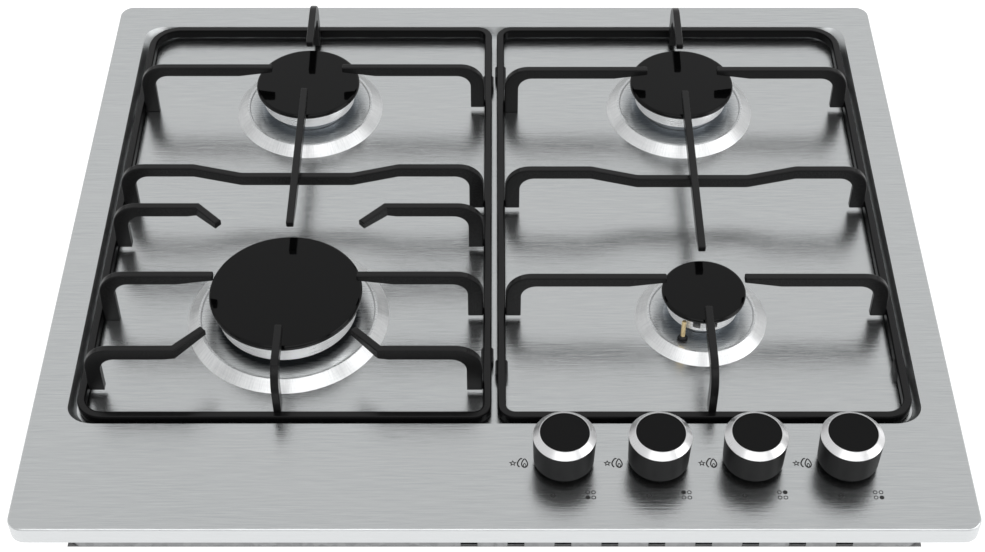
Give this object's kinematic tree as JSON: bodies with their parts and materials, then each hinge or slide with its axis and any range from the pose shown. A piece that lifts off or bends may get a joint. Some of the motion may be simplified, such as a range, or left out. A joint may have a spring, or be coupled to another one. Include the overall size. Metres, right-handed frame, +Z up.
{
  "type": "gas cooktop",
  "caption": "Built-in gas cooktop: recessed steel top, capped burners, enamelled pan supports in two halves, and push-and-turn knobs along the front right.",
  "frame": {"origin": "centre of the base pan's flat underside, below the centre of the top plate", "axes": "+X to the right, +Y to the rear (away from the knobs), +Z up"},
  "size_m": [0.58, 0.5, 0.08],
  "materials": {
    "top_plate": "brushed, satin",
    "worktop_seal": "closed-cell foam",
    "base_pan": "galvanised",
    "pan_brackets": "galvanised",
    "pan_screws": "zinc plated",
    "burner_channels": "galvanised",
    "burner_cup_rapid": "die cast",
    "burner_cup_auxiliary": "die cast",
    "burner_cups_semi_rapid": "die cast",
    "injectors": "turned",
    "flame_sensors": "turned tip, drawn lead",
    "igniter_insulators": null,
    "igniter_pins": "drawn wire",
    "tap_bodies": "die cast",
    "tap_bonnets": "zinc plated",
    "ignition_switches": "moulded",
    "spindle_seals": "moulded",
    "feed_pipes": "drawn tube",
    "pipe_nuts": "turned",
    "gas_rail": "zinc plated",
    "inlet_elbow": "forged",
    "ignition_unit": "moulded",
    "spark_leads": "silicone sleeve",
    "wiring": "insulated wire",
    "terminal_block": "moulded",
    "cable_grommet": "moulded",
    "burner_head_rapid": "machined and polished side",
    "burner_cap_rapid": "black enamel",
    "burner_head_semi_left": "machined and polished side",
    "burner_cap_semi_left": "black enamel",
    "burner_head_semi_right": "machined and polished side",
    "burner_cap_semi_right": "black enamel",
    "burner_head_auxiliary": "machined and polished side",
    "burner_cap_auxiliary": "black enamel",
    "tap_plug_1": "lapped",
    "tap_spring_1": "spring wire",
    "tap_spindle_1": "turned",
    "knob_1": "fine matt",
    "knob_ring_1": "radially brushed",
    "tap_plug_2": "lapped",
    "tap_spring_2": "spring wire",
    "tap_spindle_2": "turned",
    "knob_2": "fine matt",
    "knob_ring_2": "radially brushed",
    "tap_plug_3": "lapped",
    "tap_spring_3": "spring wire",
    "tap_spindle_3": "turned",
    "knob_3": "fine matt",
    "knob_ring_3": "radially brushed",
    "tap_plug_4": "lapped",
    "tap_spring_4": "spring wire",
    "tap_spindle_4": "turned",
    "knob_4": "fine matt",
    "knob_ring_4": "radially brushed",
    "grate_left_frame": "black enamel",
    "grate_left_fingers": "black enamel",
    "grate_left_feet": "moulded",
    "grate_right_frame": "black enamel",
    "grate_right_fingers": "black enamel",
    "grate_right_feet": "moulded"
  },
  "bodies": {
    "hob": {"top_plate": "top_plate", "worktop_seal": "worktop_seal", "base_pan": "base_pan", "pan_brackets": "pan_brackets", "pan_screws": "pan_screws", "burner_channels": "burner_channels", "burner_cup_rapid": "burner_cup_rapid", "burner_cup_auxiliary": "burner_cup_auxiliary", "burner_cups_semi_rapid": "burner_cups_semi_rapid", "injectors": "injectors", "flame_sensors": "flame_sensors", "igniter_insulators": "igniter_insulators", "igniter_pins": "igniter_pins", "tap_bodies": "tap_bodies", "tap_bonnets": "tap_bonnets", "ignition_switches": "ignition_switches", "spindle_seals": "spindle_seals", "feed_pipes": "feed_pipes", "pipe_nuts": "pipe_nuts", "gas_rail": "gas_rail", "inlet_elbow": "inlet_elbow", "ignition_unit": "ignition_unit", "spark_leads": "spark_leads", "wiring": "wiring", "terminal_block": "terminal_block", "cable_grommet": "cable_grommet"},
    "grate_left": {"grate_left_frame": "grate_left_frame", "grate_left_fingers": "grate_left_fingers", "grate_left_feet": "grate_left_feet"},
    "grate_right": {"grate_right_frame": "grate_right_frame", "grate_right_fingers": "grate_right_fingers", "grate_right_feet": "grate_right_feet"},
    "head_rapid": {"burner_head_rapid": "burner_head_rapid"},
    "cap_rapid": {"burner_cap_rapid": "burner_cap_rapid"},
    "head_semi_left": {"burner_head_semi_left": "burner_head_semi_left"},
    "cap_semi_left": {"burner_cap_semi_left": "burner_cap_semi_left"},
    "head_semi_right": {"burner_head_semi_right": "burner_head_semi_right"},
    "cap_semi_right": {"burner_cap_semi_right": "burner_cap_semi_right"},
    "head_auxiliary": {"burner_head_auxiliary": "burner_head_auxiliary"},
    "cap_auxiliary": {"burner_cap_auxiliary": "burner_cap_auxiliary"},
    "tap_1": {"tap_plug_1": "tap_plug_1", "tap_spring_1": "tap_spring_1"},
    "control_1": {"tap_spindle_1": "tap_spindle_1", "knob_1": "knob_1", "knob_ring_1": "knob_ring_1"},
    "tap_2": {"tap_plug_2": "tap_plug_2", "tap_spring_2": "tap_spring_2"},
    "control_2": {"tap_spindle_2": "tap_spindle_2", "knob_2": "knob_2", "knob_ring_2": "knob_ring_2"},
    "tap_3": {"tap_plug_3": "tap_plug_3", "tap_spring_3": "tap_spring_3"},
    "control_3": {"tap_spindle_3": "tap_spindle_3", "knob_3": "knob_3", "knob_ring_3": "knob_ring_3"},
    "tap_4": {"tap_plug_4": "tap_plug_4", "tap_spring_4": "tap_spring_4"},
    "control_4": {"tap_spindle_4": "tap_spindle_4", "knob_4": "knob_4", "knob_ring_4": "knob_ring_4"}
  },
  "joints": [
    {"name": "grate_left_lift", "type": "slide", "parent": "hob", "child": "grate_left", "axis": [0, 0, 1], "range_m": [0, 0.09]},
    {"name": "grate_right_lift", "type": "slide", "parent": "hob", "child": "grate_right", "axis": [0, 0, 1], "range_m": [0, 0.09]},
    {"name": "head_rapid_lift", "type": "slide", "parent": "hob", "child": "head_rapid", "axis": [0, 0, 1], "range_m": [0, 0.0315]},
    {"name": "cap_rapid_lift", "type": "slide", "parent": "hob", "child": "cap_rapid", "axis": [0, 0, 1], "range_m": [0, 0.054]},
    {"name": "head_semi_left_lift", "type": "slide", "parent": "hob", "child": "head_semi_left", "axis": [0, 0, 1], "range_m": [0, 0.0315]},
    {"name": "cap_semi_left_lift", "type": "slide", "parent": "hob", "child": "cap_semi_left", "axis": [0, 0, 1], "range_m": [0, 0.054]},
    {"name": "head_semi_right_lift", "type": "slide", "parent": "hob", "child": "head_semi_right", "axis": [0, 0, 1], "range_m": [0, 0.0315]},
    {"name": "cap_semi_right_lift", "type": "slide", "parent": "hob", "child": "cap_semi_right", "axis": [0, 0, 1], "range_m": [0, 0.054]},
    {"name": "head_auxiliary_lift", "type": "slide", "parent": "hob", "child": "head_auxiliary", "axis": [0, 0, 1], "range_m": [0, 0.0315]},
    {"name": "cap_auxiliary_lift", "type": "slide", "parent": "hob", "child": "cap_auxiliary", "axis": [0, 0, 1], "range_m": [0, 0.054]},
    {"name": "tap_1_turn", "type": "hinge", "parent": "hob", "child": "tap_1", "pos_m": [0.0422, -0.199, 0.02], "axis": [0, 0, 1], "range_deg": [0, 210]},
    {"name": "knob_1_push", "type": "slide", "parent": "tap_1", "child": "control_1", "axis": [0, 0, -1], "range_m": [0, 0.0028], "stiffness_N_per_m": 1500, "springref_m": -0.004, "deforming": ["tap_spring_1"]},
    {"name": "tap_2_turn", "type": "hinge", "parent": "hob", "child": "tap_2", "pos_m": [0.09983, -0.199, 0.02], "axis": [0, 0, 1], "range_deg": [0, 210]},
    {"name": "knob_2_push", "type": "slide", "parent": "tap_2", "child": "control_2", "axis": [0, 0, -1], "range_m": [0, 0.0028], "stiffness_N_per_m": 1500, "springref_m": -0.004, "deforming": ["tap_spring_2"]},
    {"name": "tap_3_turn", "type": "hinge", "parent": "hob", "child": "tap_3", "pos_m": [0.15746, -0.199, 0.02], "axis": [0, 0, 1], "range_deg": [0, 210]},
    {"name": "knob_3_push", "type": "slide", "parent": "tap_3", "child": "control_3", "axis": [0, 0, -1], "range_m": [0, 0.0028], "stiffness_N_per_m": 1500, "springref_m": -0.004, "deforming": ["tap_spring_3"]},
    {"name": "tap_4_turn", "type": "hinge", "parent": "hob", "child": "tap_4", "pos_m": [0.21509, -0.199, 0.02], "axis": [0, 0, 1], "range_deg": [0, 210]},
    {"name": "knob_4_push", "type": "slide", "parent": "tap_4", "child": "control_4", "axis": [0, 0, -1], "range_m": [0, 0.0028], "stiffness_N_per_m": 1500, "springref_m": -0.004, "deforming": ["tap_spring_4"]}
  ],
  "couplings": [
    {"joint": "head_rapid_lift", "follows": "grate_left_lift", "ratio": 0.35},
    {"joint": "cap_rapid_lift", "follows": "grate_left_lift", "ratio": 0.6},
    {"joint": "head_semi_left_lift", "follows": "grate_left_lift", "ratio": 0.35},
    {"joint": "cap_semi_left_lift", "follows": "grate_left_lift", "ratio": 0.6},
    {"joint": "head_semi_right_lift", "follows": "grate_right_lift", "ratio": 0.35},
    {"joint": "cap_semi_right_lift", "follows": "grate_right_lift", "ratio": 0.6},
    {"joint": "head_auxiliary_lift", "follows": "grate_right_lift", "ratio": 0.35},
    {"joint": "cap_auxiliary_lift", "follows": "grate_right_lift", "ratio": 0.6}
  ]
}
